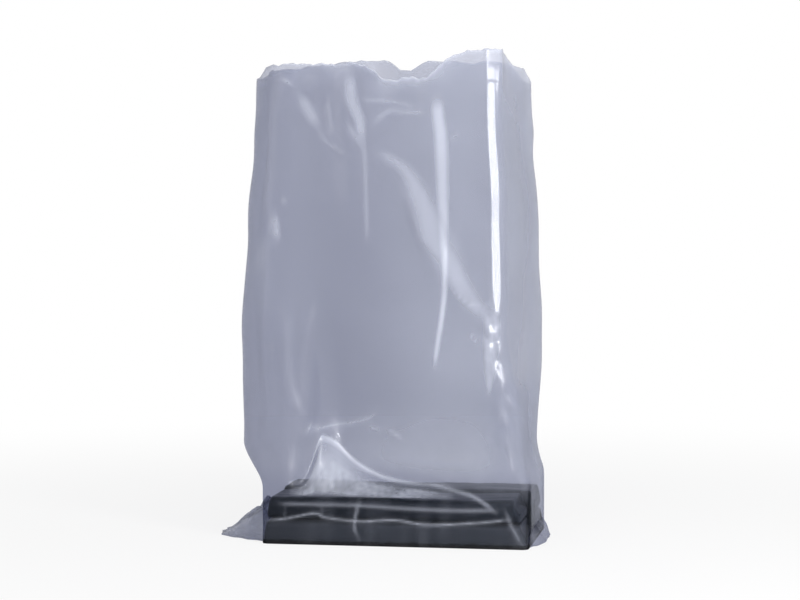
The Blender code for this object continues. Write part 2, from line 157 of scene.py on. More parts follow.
# Creases of the front wall, each a line of (x, z) with its half widths down the line and its rise, in
# millimetres, the power of its profile (1 is sharp, 2 soft, 3 flat) and its whitening: a pale haze
# along it that is partly the film's own stress whitening and partly a painted highlight along the
# crease
FRONT_CREASES = (
    # the fold that runs down from the mouth left of the middle, and its branch
    (((-46.8, 476), (-43.8, 449.5), (-35.8, 429.8), (-31.7, 406)), (5.2, 6.4, 5.2, 3.4), 0, 3, 1.25),
    (((-47.8, 429.9), (-43.9, 419.8), (-37.9, 409.9), (-32.2, 401)), (1.6, 2), 0, 1, 1.3),
    (((-31.7, 408), (-29.7, 388.8), (-28.3, 350.7), (-27.3, 305.6)), (2.6, 1.6), 0.4, 2, 0.7),
    # the crumples in the upper left
    (((-116.8, 471.8), (-103.5, 463.8)), (3, 1.6), 1.4, 2, 1.3),
    (((-99, 457), (-88.6, 440.1), (-82.4, 430), (-76.3, 420)), (3, 5.8, 6, 3.6), 0, 3, 1.15),
    (((-76.3, 420), (-72.2, 410), (-60, 401.2), (-45.9, 392.2)), (2, 1.6), 1.2, 2, 0.75),
    (((-66, 451.7), (-67, 439.8), (-65, 425.9), (-63, 417.9), (-74.3, 416)), (1.6, 1.3), 1.2, 1, 0.95),
    # the creases across below the mouth
    (((-35.8, 449.5), (-5.6, 447.3), (10.3, 444.2), (24.5, 440.2)), (1.3, 1.3), 1.1, 1, 1.05),
    (((-21.7, 423.7), (-7.9, 437.6), (10.3, 436.6), (36.6, 435.4)), (3, 2.2), 1, 2, 0.75),
    (((56, 406), (60.2, 411), (70.2, 417.3)), (2.6, 1.6), 0, 2, 0.45),
    # the pleat right of the middle
    (((42.4, 451), (44.7, 429.4), (47.2, 409.5), (49.2, 350.7), (50.8, 308.8),
      (51.8, 263.9), (48.5, 230.2), (44.5, 206.8), (40.6, 180.6)),
     (5.8, 6.2, 6, 5.4, 3.8, 2.6, 2.4, 2.2, 1.8), 0, 3, 1.7),
    # the slanting band that runs to the right corner
    (((-17.7, 396), (-3.9, 390.1), (14.4, 374.7), (31.5, 338.7), (41.4, 309.3),
      (55.4, 289.9), (64.4, 270), (75, 254.1), (84.1, 242.3), (96, 233)),
     (3, 5, 9, 12, 14, 13, 11, 9, 6), 0, 3, 0.95),
    (((50.8, 312), (51.5, 270), (52, 262)), (1.6, 1.3), 0.4, 1, 1.3),
    (((56, 262), (74, 246), (92, 243)), (2.2, 1.6), 1.1, 1, 0.7),
    # the crumpled end of the corner's fold
    (((98.5, 242), (98.5, 216), (97.5, 195), (96.3, 152)), (6, 7.5, 6, 1.4), 0, 3, 1.3),
    (((76, 215), (85, 206)), (1.4, 1.4), 1, 1, 0.9),
    # the glints on the left
    (((-122.5, 336), (-120.5, 306)), (3.4, 4.4), 1.2, 3, 1.5),
    (((-114, 352), (-112, 344)), (1.6, 1.6), 1, 1, 1.4),
    (((-128, 200), (-125, 197)), (1.4, 1.4), 0.8, 1, 1.3),
    (((-138, 310), (-140, 270)), (4, 5), 1, 2, 0.6),
    # the faint band in the lower left, down to its crescent
    (((-109, 235), (-109, 180), (-104, 150), (-93, 128)), (6, 4), 1.6, 2, 0.35),
    (((-90.5, 113), (-88.5, 118), (-86, 122)), (1.3, 1.3), 1.6, 1, 1.6),
    # the fine curve and the glints over the shelf
    (((-95, 113), (-75, 117), (-40, 123), (-27, 129), (-20, 136)), (2.1, 2.1), 0.1, 1, 1.45),
    (((-34, 117), (-18, 114)), (1.8, 1.6), 1.2, 1, 1.3),
    (((-13, 114), (-4, 110), (4, 105)), (1.8, 1.4), 1.2, 1, 1.5),
    # the end of the shelf's crest, over the right of the bundle
    (((30, 61), (45, 60), (60, 57.5), (79, 53), (93, 45), (104, 36)), (1.8, 2), 0.6, 2, 1.3),
    # the left border of the shelf
    (((-77, 110), (-80, 86), (-83, 77), (-96, 69)), (2, 2), 1.4, 1, 0.6),
    # the small crease low on the right
    (((103, 132), (114, 128)), (1.4, 1.4), 0.6, 1, 0.7),
    # the break in the corner's fold below the mouth
    (((88, 465.5), (108, 464)), (2, 2), 1.2, 2, 0.2),
    # the film that clings to the front stack
    (((-131, 24), (-111, 26), (-81, 32), (-69, 28), (-34, 25),
      (1, 27), (35, 23), (84, 26), (118, 30)),
     (0.9, 0.9), 0.6, 1, 1.9),
    (((-118, 41), (-39, 41), (11, 39), (60, 38), (106, 39)), (1.8, 2.2), 0.8, 2, 0.95),
    (((-34, 48), (-38, 34), (-40, 18), (-35, 6)), (2.2, 1.6), 1, 2, 1.0),
    (((-111, 44), (-112, 24)), (0.8, 0.8), 0.5, 1, 0.4),
    (((-74, 44), (-73, 30)), (0.8, 0.8), 0.5, 1, 0.6),
    (((112, 41), (120, 22), (128, 8), (133, 3)), (1.6, 1.4), 1, 1, 1.1),
)

CREASE_FADE = 0.014  # over what length a crease fades out at each end

# Where the film is crumpled, in millimetres: centre and half size of the patch, facet size, rise
CRUMPLES = (
    ("front", 101, 208, 14, 34, 13, 3.4),
    ("front", 119, 130, 14, 50, 14, 2.4),
    ("front", 50, 476, 70, 30, 30, 1.6),
    ("front", -80, 470, 60, 30, 34, 1.4),
    ("front", -60, 85, 50, 34, 22, 0.6),
    ("front", 115, 70, 30, 40, 24, 1.4),
    ("right", -30, 90, 50, 60, 30, 2),
    ("right", 20, 440, 50, 50, 36, 1.6),
    ("back", 40, 100, 110, 60, 45, 2),
    ("back", -30, 440, 120, 50, 45, 1.6),
    ("left", 10, 110, 70, 60, 38, 2),
    ("left", 0, 440, 70, 50, 40, 1.6),
)

FACET_TURN = math.radians(25.5)  # which way the flat facet of the front right corner faces
FACET_WIDTH = 0.009

# Long pleats of the front wall: (height, x, half width) down each in millimetres, and its slope
PLEATS = (
    # left of the middle, down from the mouth
    (((480, -47, 5), (449.5, -43.8, 6.6), (429.8, -35.8, 5.6),
      (406, -31.7, 3.8), (385, -29.7, 2.2)), 0.39),
    # in the upper left
    (((462, -100, 2.5), (440.1, -88.6, 5.8), (430, -82.4, 6),
      (420, -76.3, 4.2), (408, -72, 2.2)), 0.32),
    # right of the middle, nearly the whole way down
    (((458, 41.5, 6.2), (449.3, 42.4, 7), (409.5, 47.2, 7.4), (350.7, 49.2, 7),
      (308.8, 50.8, 5.2), (263.9, 51.8, 3.4), (230.2, 48.5, 3.6), (206.8, 44.5, 3.6),
      (170, 40, 2.4)), 0.43),
    # slanting, to the right corner
    (((398, -12, 3), (374.7, 14.4, 7), (338.7, 31.5, 11), (309.3, 41.4, 12),
      (289.9, 55.4, 11), (270, 64.4, 10), (254.1, 75, 7), (242.3, 84.1, 4)),
     0.34),
)
PLEAT_REACH = 0.02  # how far a pleat takes to level out beside it

ROW_COUNTS = (31, 10, 124)  # in the foot, in the shelf's band and above it
WALL_COUNTS = (152, 22, 36, 20)
CORNER_COUNTS = (30, 7, 7, 7)
SOLID_COUNTS = ((26, 4), (8, 4), (20, 4), (8, 4))  # of the bag's solid, for the mouth's gathers

# The ears of the bottom seal: name, side, length, rise, how hazy, how dull, the crumples' seed
EARS = (
    ("left_ear", -1.0, 0.056, 0.031, 1.2, 0.3, 20),
    ("right_ear", 1.0, 0.012, 0.014, 0.3, 0.8, 30),
)
EAR_HALF_WIDTHS = (0.066, 0.028)  # at the foot and at the tip
EAR_COUNTS = (44, 96)  # sections, and points round each
EAR_GAP = 0.0004  # how far it stands over the table and reaches into the foot

# The stacks: name, solid, which way the section faces, how far both ends lean in, the waves' seed
STACKS = (
    ("front_bundle", "front_stack", 1.0, (0.006, 0.014), 0),
    ("rear_bundle", "rear_stack", -1.0, (0.003, 0.005), 2),
)
STACK_CLEARANCE = 0.0006

# The studio. Each softbox: turn round to the right in degrees, distance, height, then the width,
# height and radiance of its face. The settings hold the strip light's radiance
SOFTBOXES = (
    ("left light", -38.0, 2.2, 0.9, 1.0, 1.2, 1.2),
    ("high light", 2.0, 1.0, 1.65, 0.8, 0.4, 7.0),
)
WHITE = (1.0, 1.0, 1.0, 1.0)
STRIP_LIGHT = ("strip light", 44.0, 1.6, 0.59, 0.42, 0.87)
FLOOR_HALF_SIZE = 60.0
SENSOR_WIDTH = 36.0  # millimetres
PICTURE_WIDTH = 800.0  # of the photograph in pixels, like the focal length and both shifts
FOCAL_LENGTH = 2320.0
SHIFT_RIGHT = -6.4
SHIFT_UP = -11.6
LOOK_AT = (0.0, 0.0, 0.257)


# Settings that a user would change


class FilmSettings(bpy.types.PropertyGroup):
    thickness: bpy.props.FloatProperty(
        name="Film thickness", description="Thickness of one wall of the bag's film",
        default=0.0002, min=0.00005, max=0.0008, precision=5, unit="LENGTH",
    )
    tint: bpy.props.FloatVectorProperty(
        name="Tint", description="Colour that one face of the film lets through",
        default=(0.722, 0.732, 0.786), min=0.0, max=1.0, size=3, subtype="COLOR",
    )
    haze_colour: bpy.props.FloatVectorProperty(
        name="Haze colour", description="Colour of the milky haze in the film",
        default=(0.68, 0.71, 0.8), min=0.0, max=1.0, size=3, subtype="COLOR",
    )
    haze: bpy.props.FloatProperty(
        name="Haze", description="Share of the light that one face of the film scatters",
        default=0.16, min=0.0, max=1.0, subtype="FACTOR",
    )
    gloss: bpy.props.FloatProperty(
        name="Gloss", description="Share of the light that the film reflects straight on",
        default=0.03, min=0.0, max=0.2, subtype="FACTOR",
    )


class BundleSettings(bpy.types.PropertyGroup):
    colour: bpy.props.FloatVectorProperty(
        name="Bundle colour", description="Colour of the folded dark film",
        default=(0.024, 0.031, 0.034), min=0.0, max=1.0, size=3, subtype="COLOR",
    )
    layer: bpy.props.FloatProperty(
        name="Layer pitch", description="Distance between the folded layers at a stack's ends",
        default=0.0017, min=0.0005, max=0.005, precision=5, unit="LENGTH",
    )


class StudioSettings(bpy.types.PropertyGroup):
    camera_turn: bpy.props.FloatProperty(
        name="Camera turn", description="How far round to the right the camera stands",
        default=math.radians(9.4), unit="ROTATION",
    )
    camera_distance: bpy.props.FloatProperty(
        name="Camera distance", description="From the middle of the bag to the camera",
        default=2.4, min=0.5, unit="LENGTH",
    )
    camera_height: bpy.props.FloatProperty(
        name="Camera height", description="Height of the camera over the table",
        default=0.356, unit="LENGTH",
    )
    strip_radiance: bpy.props.FloatProperty(
        name="Strip light", description="Brightness of the tall strip light on the right",
        default=22.0, min=0.0,
    )
    room: bpy.props.FloatProperty(
        name="Room light", description="Brightness of the even light all round",
        default=0.45, min=0.0,
    )


# Formulas shared by the shapes


def smooth(value):
    """0 below 0 and 1 above 1, with a level start and end between: 3 v squared less 2 v cubed."""
    value = np.clip(value, 0.0, 1.0)
    return value * value * (3.0 - 2.0 * value)


def bell(distance, width):
    """1 on the line and near 0 at two widths from it: e to the minus (distance / width) squared."""
    return np.exp(-((distance / width) ** 2))


def staged(heights, foot, values):
    """A size that goes smoothly from its value at the foot through one value, in millimetres, at
    each level above."""
    result = np.full_like(heights, foot)
    levels = np.array(LEVELS) * MM
    steps = (foot, *(np.array(values) * MM))
    for low, high, before, after in zip(levels, levels[1:], steps, steps[1:]):
        share = (heights - low) / (high - low)
        result = np.where(share > 0.0, before + (after - before) * smooth(share), result)
    return result


def rounded_line(points, steps=10):
    """A line of points made smooth: each run is a cubic whose slopes come from its neighbours."""
    points = np.asarray(points, dtype=float)
    if len(points) < 3:
        return points
    padded = np.vstack((2 * points[0] - points[1], points, 2 * points[-1] - points[-2]))
    share = np.linspace(0.0, 1.0, steps, endpoint=False)[:, None]
    runs = []
    for before, start, end, after in zip(padded, padded[1:], padded[2:], padded[3:]):
        runs.append(0.5 * (
            2 * start + (end - before) * share
            + (2 * before - 5 * start + 4 * end - after) * share ** 2
            + (3 * start - before - 3 * end + after) * share ** 3
        ))
    return np.vstack(runs + [points[-1:]])


def near_line(across, up, points):
    """How far each point is from a line, what share of the line lies before its nearest point, and
    how long the line is."""
    points = rounded_line(points)
    lengths = np.hypot(*np.diff(points, axis=0).T)
    nearest = np.full(across.shape, np.inf)
    share = np.zeros(across.shape)
    done = 0.0
    for (x0, z0), (x1, z1), length in zip(points, points[1:], lengths):
        run, climb = x1 - x0, z1 - z0
        passed = np.clip(((across - x0) * run + (up - z0) * climb) / length ** 2, 0.0, 1.0)
        away = np.hypot(across - x0 - passed * run, up - z0 - passed * climb)
        nearer = away < nearest
        nearest = np.where(nearer, away, nearest)
        share = np.where(nearer, (done + passed * length) / lengths.sum(), share)
        done += length
    return nearest, share, lengths.sum()


def crumple(across, up, size, seed, waves=7):
    """Flat facets with creases between: the mean of triangle waves in several directions, each
    bent by a slow sine."""
    rng = np.random.default_rng(seed)
    total = np.zeros(across.shape)
    for angle, length, phase, bend in zip(
        rng.uniform(0.0, math.pi, waves), rng.uniform(0.7, 1.8, waves) * size,
        rng.uniform(0.0, 1.0, waves), rng.uniform(0.15, 0.45, waves),
    ):
        along = across * math.cos(angle) + up * math.sin(angle)
        beside = up * math.cos(angle) - across * math.sin(angle)
        turns = along / length + bend * np.sin(math.tau * (beside / length / 2.7 + phase)) + phase
        total += (4.0 * np.abs(turns % 1.0 - 0.5) - 1.0) * length / size
    return total / waves


def drift(across, up, size, seed, waves=9):
    """Soft patches from about -1 to 1: the mean of sines in several directions."""
    rng = np.random.default_rng(seed)
    total = np.zeros(across.shape)
    for angle, length, phase in zip(
        rng.uniform(0.0, math.pi, waves), rng.uniform(0.6, 1.6, waves) * size,
        rng.uniform(0.0, math.tau, waves),
    ):
        along = across * math.cos(angle) + up * math.sin(angle)
        total += np.sin(math.tau * along / length + phase)
    return total / math.sqrt(waves)


# Meshes


def grid_mesh(name, points, cap_start=False, cap_end=False):
    """A mesh of quads on a grid of points (rows, columns, 3) whose columns close into a ring. The
    first and last row may be capped with one flat face."""
    rows, columns = points.shape[:2]
    index = np.arange(rows * columns).reshape(rows, columns)
    beside = np.roll(index, -1, axis=1)
    quads = np.stack((index[:-1], beside[:-1], beside[1:], index[1:]), axis=-1).reshape(-1, 4)
    faces = quads.tolist()
    if cap_start:
        faces.append(index[0][::-1].tolist())
    if cap_end:
        faces.append(index[-1].tolist())
    mesh = bpy.data.meshes.new(name)
    mesh.from_pydata(points.reshape(-1, 3).tolist(), [], faces)
    mesh.shade_smooth()
    mesh.update()
    return mesh


def add_object(name, data):
    """An object in the scene, made of a mesh, light or camera."""
    made = bpy.data.objects.new(name, data)
    bpy.context.scene.collection.objects.link(made)
    return made


def add_piece(name, mesh, material, nodes):
    """Puts a finished mesh into the scene, on the body, for the solids that it stands for."""
    mesh.materials.append(material)
    piece = add_object(name, mesh)
    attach(piece, "root")
    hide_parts(*nodes)
    return piece


def add_attribute(mesh, name, values):
    """A number at each vertex that the material reads by its name."""
    layer = mesh.attributes.new(name, "FLOAT", "POINT")
    layer.data.foreach_set("value", np.ascontiguousarray(values, dtype=np.float32).ravel())


def add_film_wall(piece, thickness):
    """Gives an open surface of film its thickness, inwards."""
    wall = piece.modifiers.new("film wall", "SOLIDIFY")
    wall.thickness = thickness
    wall.offset = -1.0


# The film bag


def bag_rows():
    """The heights of the film's rows: even in the foot and shelf, closer at both ends above."""
    foot_rows, shelf_rows, wall_rows = ROW_COUNTS
    foot = SHELF_START * np.linspace(0.0, 1.0, foot_rows, endpoint=False)
    shelf = SHELF_START + SHELF_BAND * np.linspace(0.0, 1.0, shelf_rows, endpoint=False)
    share = np.linspace(0.0, 1.0, 400)
    density = 1.0 + 1.3 * bell(share, 0.14) + 1.2 * bell(1.0 - share, 0.1)
    passed = np.cumsum(density) - density[0]
    wall = np.interp(np.linspace(0.0, passed[-1], wall_rows), passed, share)
    return np.concatenate((foot, shelf, SHELF_TOP + (MOUTH_HEIGHT - SHELF_TOP) * wall))


def bag_plan(heights):
    """The rounded plan of the bag at each height, as complex numbers, with the direction that
    faces out of it. Four straight walls touch four arcs: an arc's centre lies on the line that
    halves its corner, one radius from both walls."""
    corners = []
    radii = []
    for side, end, side_reach, end_reach, radius in CORNERS:
        x = side * (FOOT_WIDTH / 2.0 + staged(heights, 0.0, side_reach))
        y = end * (FOOT_DEPTH / 2.0 + staged(heights, 0.0, end_reach))
        corners.append(x + 1j * y)
        radii.append(staged(heights, FOOT_CORNER, radius))
    centres, firsts, turns = [], [], []
    for i, (corner, radius) in enumerate(zip(corners, radii)):
        to_last = corners[i - 1] - corner
        to_next = corners[(i + 1) % 4] - corner
        half = np.abs(np.angle(to_next / to_last)) / 2.0
        middle = to_last / np.abs(to_last) + to_next / np.abs(to_next)
        centres.append(corner + middle / np.abs(middle) * radius / np.sin(half))
        firsts.append(1j * to_last / np.abs(to_last) * radius)
        turns.append(math.pi - 2.0 * half)
    points, outs, round_shares = [], [], []
    before = 0
    total = sum(map(sum, SOLID_COUNTS))
    for wall in range(4):
        corner = (wall + 1) % 4
        along = np.arange(WALL_COUNTS[wall]) / WALL_COUNTS[wall]
        start = centres[wall] + firsts[wall] * np.exp(1j * turns[wall])
        run = centres[corner] + firsts[corner] - start
        points.append(start[:, None] + run[:, None] * along)
        outs.append((-1j * run / np.abs(run))[:, None] + 0.0 * along)
        round_shares.append((before + SOLID_COUNTS[wall][0] * along) / total)
        before += SOLID_COUNTS[wall][0]
        along = np.arange(CORNER_COUNTS[wall]) / CORNER_COUNTS[wall]
        spoke = firsts[corner][:, None] * np.exp(1j * turns[corner][:, None] * along)
        points.append(centres[corner][:, None] + spoke)
        outs.append(spoke / np.abs(spoke))
        round_shares.append((before + SOLID_COUNTS[wall][1] * along) / total)
        before += SOLID_COUNTS[wall][1]
    return np.hstack(points), np.hstack(outs), np.hstack(round_shares)[None, :]


def shelf_share(x):
    """How much of the shelf's depth the front wall takes at x: 0 at its ends, 1 between."""
    climb = smooth((x - SHELF_LEFT_END) / (SHELF_PEAK_X - SHELF_LEFT_END) / 1.6)
    fall = smooth((SHELF_RIGHT_END - x) / (SHELF_RIGHT_END - SHELF_PEAK_X) * 1.3)
    return climb * fall


def shelf_rise(x):
    """How far the shelf's crest stands above its front edge: a peak that falls away to the right
    as e to the minus distance."""
    rising = smooth(1.0 + (x - SHELF_PEAK_X) / SHELF_CLIMB)
    falling = np.exp(-np.maximum(x - SHELF_PEAK_X, 0.0) / SHELF_FALL)
    share = np.where(x < SHELF_PEAK_X, rising, falling)
    return SHELF_LOW_RISE + (SHELF_PEAK_RISE - SHELF_LOW_RISE) * share


def mouth_edge(x, y, round_share):
    """The height of the mouth's edge: a tilt, bell-shaped sags, a drop at the left end, and small
    nicks all round."""
    edge = MOUTH_HEIGHT + MOUTH_TILT * x
    for sag_x, sag_y, radius, drop in np.array(MOUTH_SAGS) * MM:
        edge = edge - drop * bell(np.hypot(x - sag_x, y - sag_y), radius)
    start, run, drop = LEFT_ROUNDING
    edge = edge - drop * smooth((start - x) / run) * smooth((0.03 - y) / 0.06)
    way = round_share * 0.86
    level = 0.0 * way
    return edge + 0.0018 * crumple(way, level, 0.018, 41) + 0.0011 * crumple(way, level, 0.008, 42)


def wall_weight(outs):
    """How much each point belongs to each wall, from the direction that it faces."""
    return {
        "front": smooth((-outs.imag - 0.15) / 0.35),
        "right": smooth((outs.real - 0.3) / 0.35),
        "back": smooth((outs.imag - 0.3) / 0.35),
        "left": smooth((-outs.real - 0.3) / 0.35),
    }


def fold_rise(wall, along, height):
    """How far the soft folds move a wall out: each is a bell across its line that fades out
    beyond its ends."""
    rise = 0.0 * along
    for start_along, start_up, end_along, end_up, width, depth in np.array(WALL_FOLDS[wall]) * MM:
        run, climb = end_along - start_along, end_up - start_up
        length = math.hypot(run, climb)
        passed = ((along - start_along) * run + (height - start_up) * climb) / length
        beside = ((along - start_along) * climb - (height - start_up) * run) / length
        beyond = np.maximum(np.maximum(-passed, passed - length), 0.0)
        rise += depth * bell(beside, width) * bell(beyond, FOLD_FADE)
    return rise


def crease_rise(x, height):
    """How far the front wall's creases stand out, and how much they whiten it, a whitening that is
    partly painted highlight. Across its line a crease is e to the minus (distance / half width) to its
    power, and it fades out at its ends."""
    rise = np.zeros(x.shape)
    white = np.zeros(x.shape)
    for points, widths, depth, power, whitening_and_highlight in FRONT_CREASES:
        away, share, length = near_line(x, height, np.array(points) * MM)
        away = away / np.interp(share, np.linspace(0.0, 1.0, len(widths)), np.array(widths) * MM)
        run = min(CREASE_FADE / length, 0.35)
        fade = smooth(share / run) * smooth((1.0 - share) / run)
        profile = np.exp(-(away ** power))
        rise += depth * MM * profile * (0.25 + 0.75 * fade)
        white += whitening_and_highlight * profile * (0.2 + 0.8 * fade)
    return rise, white


def at_column(values, column):
    """The value of each row at one column of that row."""
    return np.take_along_axis(values, column[:, None], axis=1)


def add_facet(rise, outs, radius, height):
    """The front right corner cut back to a flat facet between two creases: from the arc to its
    chord, radius x (cos half / cos angle - 1). Other folds stay level across it."""
    angle = np.arctan2(outs.real, -outs.imag) - FACET_TURN
    half = np.arcsin(np.clip(FACET_WIDTH / 2.0 / radius, 0.0, 0.9)) * smooth((height - 0.218) / 0.048)
    chord = radius * (np.cos(half) / np.cos(np.clip(angle, -1.2, 1.2)) - 1.0)
    inside = smooth((half + 0.3 - np.abs(angle)) / 0.3) * smooth((height - 0.19) / 0.04)
    level = at_column(rise, np.argmin(np.abs(angle), axis=1))
    return rise + (level - rise) * inside + np.where(np.abs(angle) < half, chord, 0.0)


def add_pleat(rise, x, height, on_front, line, slope):
    """A long pleat: straight down to the right across its width (share less a sixth of its cube),
    levelling out on both sides. Other folds stay level across it."""
    heights, places, widths = (np.array(line)[::-1] * MM).T
    half = np.interp(height, heights, widths)
    beside = x - np.interp(height, heights, places)
    strength = smooth((height - heights[0]) / 0.03) * smooth((heights[-1] - height) / 0.014) * on_front
    share = beside / half
    within = np.clip(share, -1.0, 1.0)
    outside = np.exp(-np.maximum(np.abs(share) - 1.0, 0.0) * half / PLEAT_REACH)
    inside = smooth((half + 0.012 - np.abs(beside)) / 0.012) * strength
    level = at_column(rise, np.argmin(np.abs(beside) + 9.0 * (1 - on_front), axis=1))
    tilt = slope * half * (within - within ** 3 / 6.0) * outside * strength
    return rise + (level - rise) * inside - tilt


def film_surface():
    """The outer face of the film, and at each point how milky it is, with painted highlights and
    painted light mixed in, how dull it is and how deep it lies in the painted shadow along the bottom
    seam."""
    rows = bag_rows()
    plan, outs, round_share = bag_plan(rows)
    row = rows[:, None]
    x, y = plan.real, plan.imag
    edge = mouth_edge(x, y, round_share)

    on_front = np.arange(x.shape[1]) < WALL_COUNTS[0]
    share = shelf_share(x) * on_front
    crest = SHELF_TOP + (shelf_rise(x) - SHELF_BAND) * share
    part = (row - SHELF_START) / SHELF_BAND
    wall_part = (row - SHELF_TOP) / (MOUTH_HEIGHT - SHELF_TOP)
    height = np.where(
        row < SHELF_START, row,
        np.where(row < SHELF_TOP, SHELF_START + (crest - SHELF_START) * part,
                 crest + (MOUTH_HEIGHT - crest) * wall_part),
    )
    push = np.where(
        row < SHELF_START, 0.0,
        np.where(row < SHELF_TOP, SHELF_DEPTH * share * part,
                 SHELF_DEPTH * share * (1.0 - smooth((height - crest) / SHELF_RECOVERY))),
    )
    stretch = smooth((height - SHELF_TOP) / (MOUTH_HEIGHT - SHELF_TOP))
    height = height + (edge - MOUTH_HEIGHT) * stretch

    weights = wall_weight(outs)
    settled = smooth((height - SHELF_TOP) / SHELF_BAND)
    rise = np.zeros(x.shape)
    for wall, weight in weights.items():
        along = x if wall in ("front", "back") else y
        rise += fold_rise(wall, along, height) * weight * settled
    for seed, (wall, *sizes) in enumerate(CRUMPLES, 60):
        along_at, up_at, half_width, half_height, size, depth = np.array(sizes) * MM
        along = x if wall in ("front", "back") else y
        patch = bell(along - along_at, half_width) * bell(height - up_at, half_height)
        rise += depth * patch * weights[wall] * crumple(along, height, size, seed)
    near_mouth = smooth(1.0 - (edge - height) / GATHER_BAND)
    waves = 0.6 * np.sin(math.tau * 9 * round_share)
    waves = waves + 0.4 * np.sin(math.tau * 16 * round_share + 1.0)
    rise += GATHER_DEPTH * near_mouth * waves
    rise += 0.0006 * drift(x + y, height, 0.075, 5) * settled

    for line, slope in PLEATS:
        rise = add_pleat(rise, x, height, on_front, line, slope)
    rise = add_facet(rise, outs, staged(row, FOOT_CORNER, CREASE_RADIUS), height)
    creases, white = crease_rise(x, height)
    rise += creases * weights["front"]
    points = np.stack((x + outs.real * rise, y + outs.imag * rise + push, height), axis=-1)

    # how milky the film is, with painted light in it: clear over the bundle and at the left, milkier to
    # the right, and paler on the right wall as a painted sheen where it is seen at a grazing angle
    front, right = weights["front"], weights["right"]
    free = smooth((height - 0.052) / 0.036)
    rightwards = smooth((x + 0.07) / 0.15)
    rearwards = smooth((y + 0.03) / 0.08)
    milky_and_painted_light = 0.03 + free * (0.3 + 0.88 * rightwards + right * (0.6 * rearwards + 0.08))
    clearer = 0.24 * bell(x + 0.015, 0.045) * bell(height - 0.28, 0.07)
    milky_and_painted_light += free * (0.25 * weights["left"] - clearer)
    end_milk = 0.7 + 0.35 * smooth((height - 0.012) / 0.02)
    milky_and_painted_light += end_milk * right * (1.0 - free) * smooth((0.06 + y) / 0.02)
    milky_and_painted_light += 0.2 * smooth((x - 0.075) / 0.02) * bell(height - 0.058, 0.012) * front
    milky_and_painted_light += 0.12 * smooth((0.027 - height) / 0.004) * front
    milky_and_painted_light *= 1.0 + 0.1 * drift(x + 1.3 * y, height, 0.16, 8)
    # painted light: a paler band on the front just over the bundle, where the film catches more light
    low = smooth((x + 0.08) / 0.08) * smooth((0.122 - x) / 0.05)
    milky_and_painted_light += 1.15 * bell(height - 0.092, 0.036) * low * front * free
    milky_and_painted_light += 0.08 * np.clip(drift(x, 0.15 * height, 0.024, 96), 0.0, 2.0) * (1.0 - free)
    # painted glare with painted sparkles on the shelf, a painted highlight on the facet under its
    # crest, and a painted highlight along the crest
    glare = smooth(part * 8.0) * smooth((0.8 - part) * 3.0) * smooth((x + 0.112) / 0.03)
    glare *= smooth((0.072 - x) / 0.06) * on_front
    sparkle = 2.2 + 0.5 * drift(x, 2.0 * part * SHELF_DEPTH, 0.03, 91)
    milky_and_painted_light += glare * np.clip(sparkle + 0.3 * drift(x, 2.0 * part * SHELF_DEPTH, 0.007, 92), 0.5, 4.0)
    milky_and_painted_light += 1.7 * share * bell(x + 0.062, 0.026) * bell(part - 0.85, 0.35)
    milky_and_painted_light += 2.6 * share * bell(height - crest, 0.0022) * smooth((0.084 - x) / 0.08) * on_front
    # the crumpled rim
    below = np.maximum(edge - height, 0.0)
    milky_and_painted_light += (1.2 + 1.2 * front) * np.exp(-below / 0.0016)
    rim = bell(below, 0.016) * np.clip(0.5 + 0.8 * crumple(x + y, height, 0.03, 93), 0.0, 1.0)
    milky_and_painted_light += rim * (1.2 - 0.8 * smooth((x - 0.02) / 0.04))
    # the creases' whitening, partly a painted highlight along them
    milky_and_painted_light = np.clip(milky_and_painted_light + white * front, 0.0, 4.0)
    # how dull its gloss is: where it clings to the bundle, and rubbed low at the right, at the rim
    # over the corner's fold and down the back left corner
    rubbed = bell(x - 0.122, 0.026) * smooth((0.18 - height) / 0.035) * (front + right)
    rim_dull = smooth((height - 0.4785) / 0.004) * smooth((x - 0.09) / 0.008) * front
    back_fold = smooth((-0.112 - x) / 0.01) * smooth((y - 0.04) / 0.015)
    dull = np.clip(1.0 - free + 1.2 * rubbed + rim_dull + back_fold, 0.0, 1.0)
    # painted shadow along the foot: the film's clear colour darkens in its lowest few millimetres, with
    # a crumpled upper border
    painted_foot_shadow = smooth((0.0046 - height - 0.0012 * crumple(x + y, 0.0 * x, 0.012, 94)) / 0.002)
    return points, {"milky_and_painted_light": milky_and_painted_light, "dull": dull, "painted_foot_shadow": painted_foot_shadow}


def film_mesh():
    """The film's face as a mesh, with its foot closed by rings that shrink to the middle."""
    points, finish = film_surface()
    shares = np.array((0.02, 0.25, 0.6, 0.95))[:, None, None]
    rings = points[0][None] * shares
    rings[..., 2] = 0.0
    mesh = grid_mesh("bag_film", np.concatenate((rings, points)), cap_start=True)
    for name, values in finish.items():
        add_attribute(mesh, name, np.concatenate((np.broadcast_to(values[0], rings.shape[:2]), values)))
    return mesh


# The ears at the ends of the bottom seal


